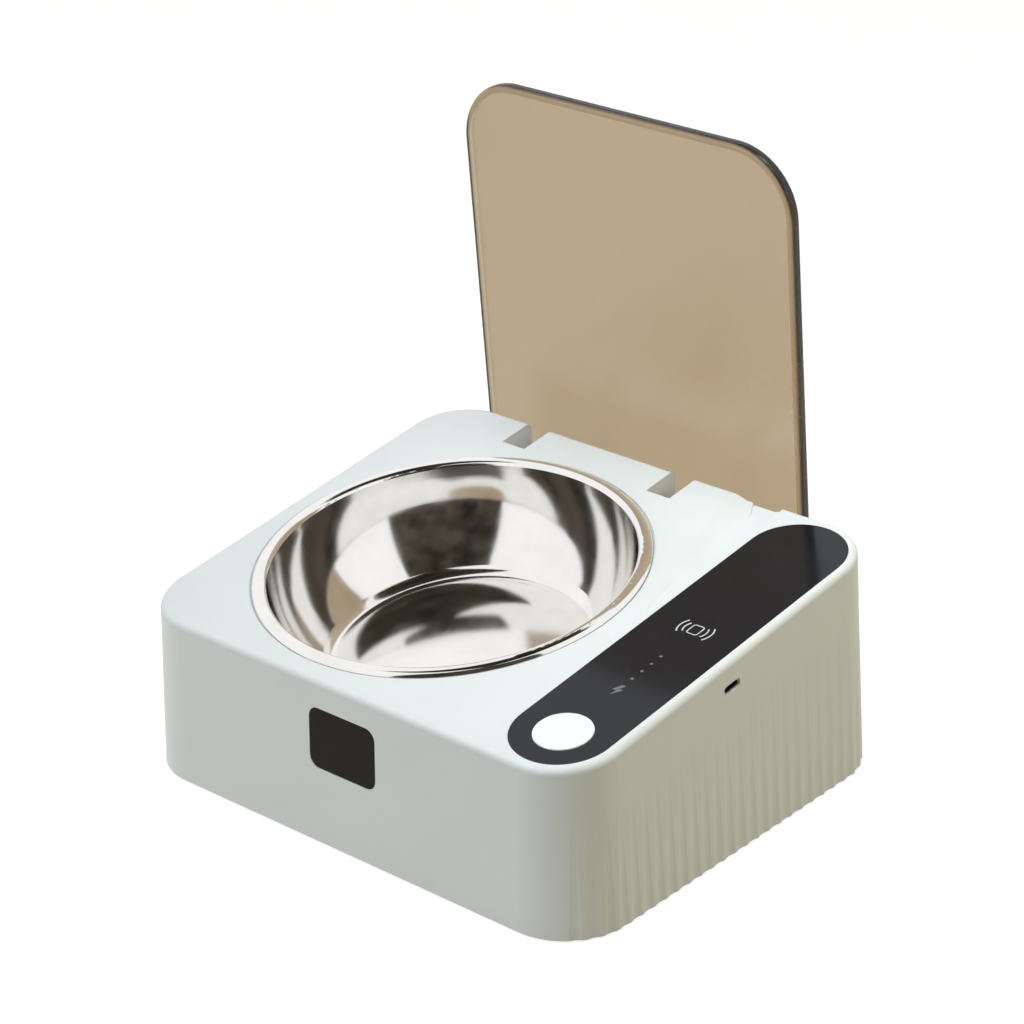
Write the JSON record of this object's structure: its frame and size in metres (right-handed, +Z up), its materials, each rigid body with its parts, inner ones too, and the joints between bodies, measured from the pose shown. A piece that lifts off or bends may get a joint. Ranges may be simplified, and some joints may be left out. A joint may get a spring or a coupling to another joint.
{
  "type": "covered pet bowl",
  "caption": "Fluted wedge housing with a steel pet bowl under a motor-driven hinged lid, a console strip with a push button, and a sensor window.",
  "frame": {"origin": "middle of the housing's footprint, on the plane its feet stand on", "axes": "+Z up, the animal eats at -Y, the console is on the +X side and the lid is hinged at the +Y side"},
  "size_m": [0.24, 0.2213, 0.247],
  "materials": {
    "housing_white": "satin",
    "base_grey": "satin",
    "steel_mirror": "mirror polished",
    "liner_white": "satin",
    "lid_smoke": "smoky clear, polished",
    "arm_smoke": "polished",
    "console_black": "polished",
    "button_white": "satin",
    "window_dark": "polished",
    "foot_rubber": "matt",
    "screw_steel": "zinc plated",
    "shaft_steel": "ground",
    "bush_acetal": "satin",
    "gear_acetal": "satin",
    "plate_steel": "zinc plated",
    "gearbox_black": "satin",
    "motor_steel": "drawn",
    "cap_nylon": "satin",
    "switch_black": "satin",
    "cell_wrap": "shrink film",
    "cradle_black": "satin",
    "contact_nickel": "plated",
    "board_green": "solder mask",
    "guide_milk": "milky",
    "lamp_clear": "clear",
    "socket_steel": "drawn",
    "tongue_black": "satin",
    "eye_clear": "clear",
    "eye_dark": "dark"
  },
  "bodies": {
    "housing": {"upper_shell": "housing_white", "base_plate": "base_grey", "base_screws": "screw_steel", "foot_front_left": "foot_rubber", "foot_front_right": "foot_rubber", "foot_rear_left": "foot_rubber", "foot_rear_right": "foot_rubber", "foot_middle": "foot_rubber", "steel_bowl": "steel_mirror", "bowl_liner": "liner_white", "bearing_block_left": "base_grey", "bearing_block_right": "base_grey", "bush_left": "bush_acetal", "bush_right": "bush_acetal", "drive_plate": "plate_steel", "drive_plate_screws": "screw_steel", "gearbox_housing": "gearbox_black", "gearbox_screws": "screw_steel", "motor_can": "motor_steel", "motor_cap": "cap_nylon", "limit_switch": "switch_black", "battery_cell": "cell_wrap", "battery_cradle": "cradle_black", "battery_contacts": "contact_nickel", "console_glass": "console_black", "power_switch": "switch_black", "control_board": "board_green", "control_board_screws": "screw_steel", "light_guide": "guide_milk", "indicator_lamps": "lamp_clear", "socket_shell": "socket_steel", "socket_tongue": "tongue_black", "sensor_window": "window_dark", "sensor_board": "board_green", "sensor_board_screws": "screw_steel", "sensor_emitter": "eye_clear", "sensor_receiver": "eye_dark"},
    "lid": {"lid_panel": "lid_smoke", "lid_arm_left": "arm_smoke", "lid_arm_right": "arm_smoke", "arm_screws": "screw_steel", "hinge_shaft": "shaft_steel", "lid_gear": "gear_acetal"},
    "pinion": {"drive_pinion": "gear_acetal", "output_shaft": "shaft_steel"},
    "button": {"power_button": "button_white", "switch_plunger": "switch_black"}
  },
  "joints": [
    {"name": "lid_hinge", "type": "hinge", "parent": "housing", "child": "lid", "pos_m": [0, 0.084, 0.068], "axis": [1, 0, 0], "range_deg": [0, 93.5]},
    {"name": "pinion_turn", "type": "hinge", "parent": "housing", "child": "pinion", "pos_m": [0.055, 0.05695, 0.068], "axis": [1, 0, 0], "range_deg": [-267.2, 0]},
    {"name": "button_press", "type": "slide", "parent": "housing", "child": "button", "axis": [0, 0.1305, -0.9914], "range_m": [0, 0.0012], "stiffness_N_per_m": 1200, "springref_m": -0.0008}
  ],
  "couplings": [
    {"joint": "pinion_turn", "follows": "lid_hinge", "ratio": -2.8571}
  ]
}
